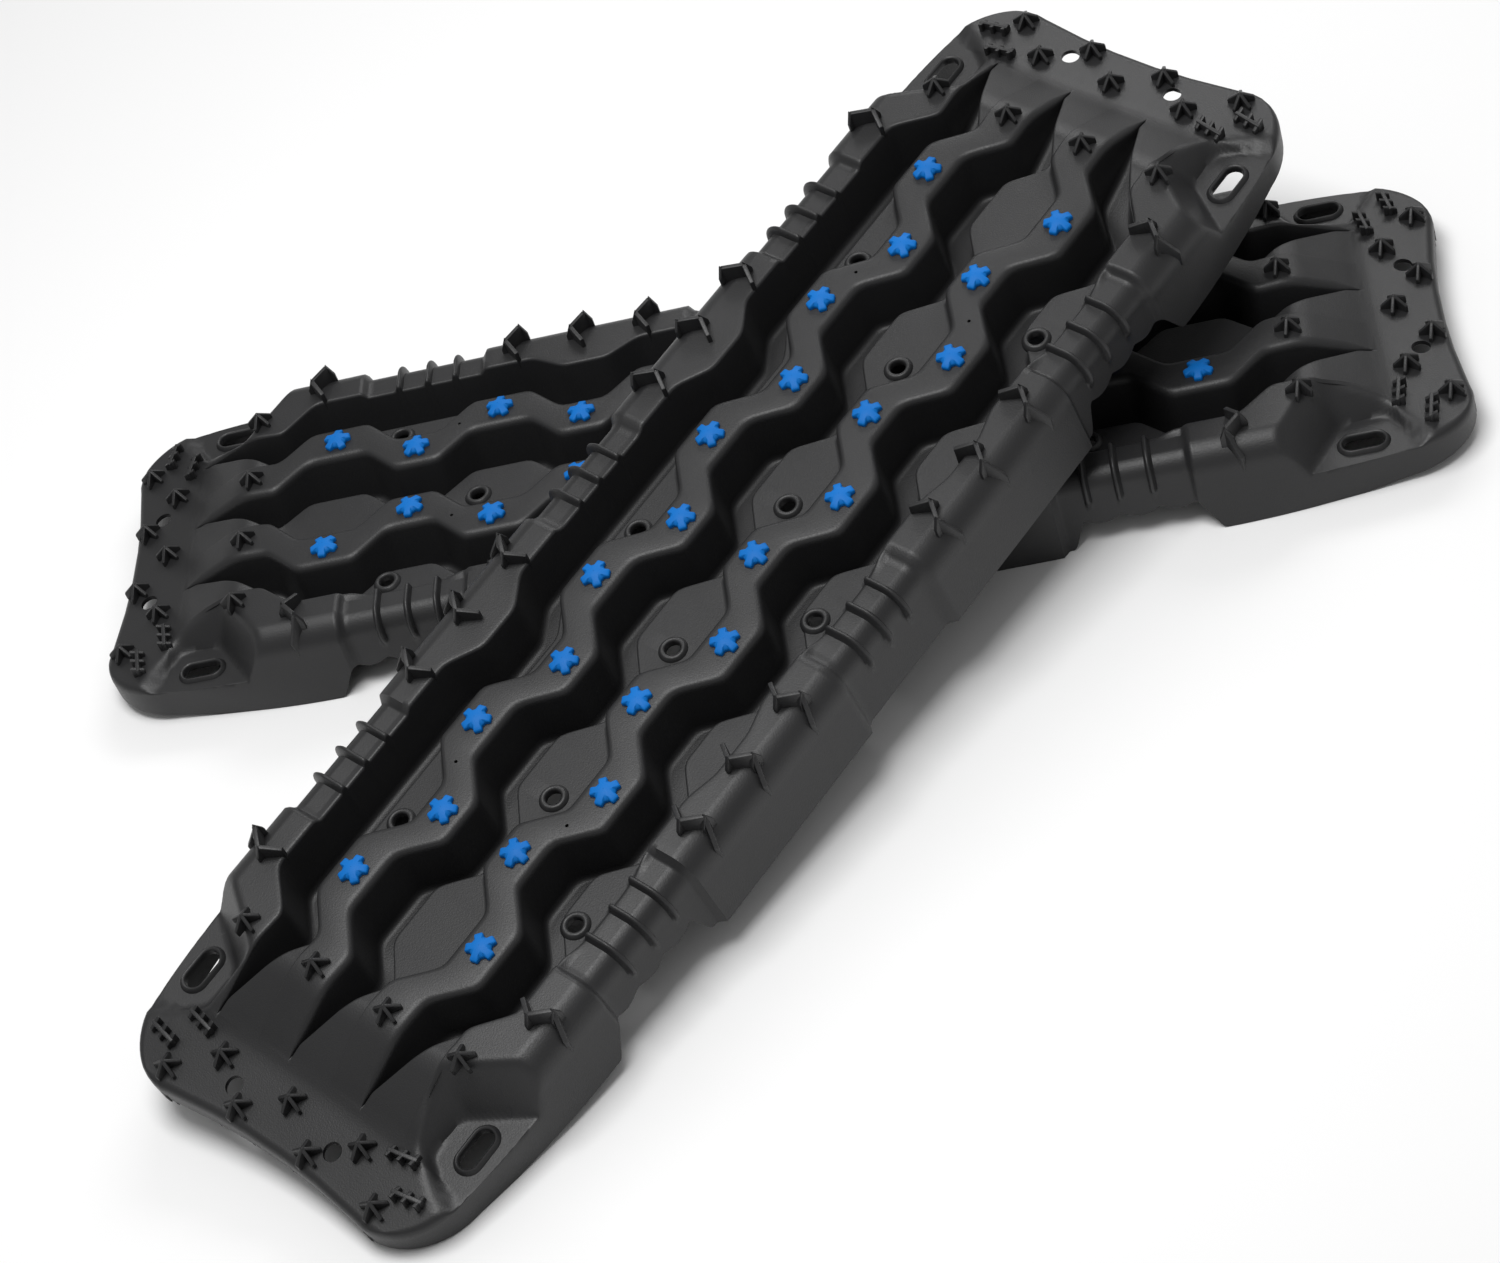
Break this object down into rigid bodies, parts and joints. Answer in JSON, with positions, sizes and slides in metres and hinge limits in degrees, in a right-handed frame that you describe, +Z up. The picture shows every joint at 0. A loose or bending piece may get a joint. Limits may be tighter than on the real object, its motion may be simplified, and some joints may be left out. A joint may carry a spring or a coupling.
{
  "type": "tire traction mats",
  "caption": "Pair of hollow plastic tire traction mats with zigzag ridges, deep grooves, rail cleats, hand holds and separate star studs, one mat lying across the other.",
  "frame": {"origin": "under the middle of the pair's bounding box, on the floor", "axes": "+X along the lower mat, +Z up, +Y from the lower mat towards the end of the upper mat that rests on it"},
  "size_m": [1.06, 0.94, 0.2184],
  "materials": {
    "shell_plastic": "satin moulded, fine grain",
    "stud_plastic": "semi-gloss moulded"
  },
  "bodies": {
    "lower_mat": {"lower_mat_shell": "shell_plastic", "lower_stud_01": "stud_plastic", "lower_stud_02": "stud_plastic", "lower_stud_03": "stud_plastic", "lower_stud_04": "stud_plastic", "lower_stud_05": "stud_plastic", "lower_stud_06": "stud_plastic", "lower_stud_07": "stud_plastic", "lower_stud_08": "stud_plastic", "lower_stud_09": "stud_plastic", "lower_stud_10": "stud_plastic", "lower_stud_11": "stud_plastic", "lower_stud_12": "stud_plastic", "lower_stud_13": "stud_plastic", "lower_stud_14": "stud_plastic", "lower_stud_15": "stud_plastic", "lower_stud_16": "stud_plastic", "lower_stud_17": "stud_plastic", "lower_stud_18": "stud_plastic", "lower_stud_19": "stud_plastic", "lower_stud_20": "stud_plastic", "lower_stud_21": "stud_plastic", "lower_stud_22": "stud_plastic"},
    "upper_mat": {"upper_mat_shell": "shell_plastic", "upper_stud_01": "stud_plastic", "upper_stud_02": "stud_plastic", "upper_stud_03": "stud_plastic", "upper_stud_04": "stud_plastic", "upper_stud_05": "stud_plastic", "upper_stud_06": "stud_plastic", "upper_stud_07": "stud_plastic", "upper_stud_08": "stud_plastic", "upper_stud_09": "stud_plastic", "upper_stud_10": "stud_plastic", "upper_stud_11": "stud_plastic", "upper_stud_12": "stud_plastic", "upper_stud_13": "stud_plastic", "upper_stud_14": "stud_plastic", "upper_stud_15": "stud_plastic", "upper_stud_16": "stud_plastic", "upper_stud_17": "stud_plastic", "upper_stud_18": "stud_plastic", "upper_stud_19": "stud_plastic", "upper_stud_20": "stud_plastic", "upper_stud_21": "stud_plastic", "upper_stud_22": "stud_plastic"}
  },
  "joints": [
    {"name": "upper_mat_lift", "type": "slide", "parent": "lower_mat", "child": "upper_mat", "axis": [0, 0, 1], "range_m": [0, 0.3]}
  ]
}
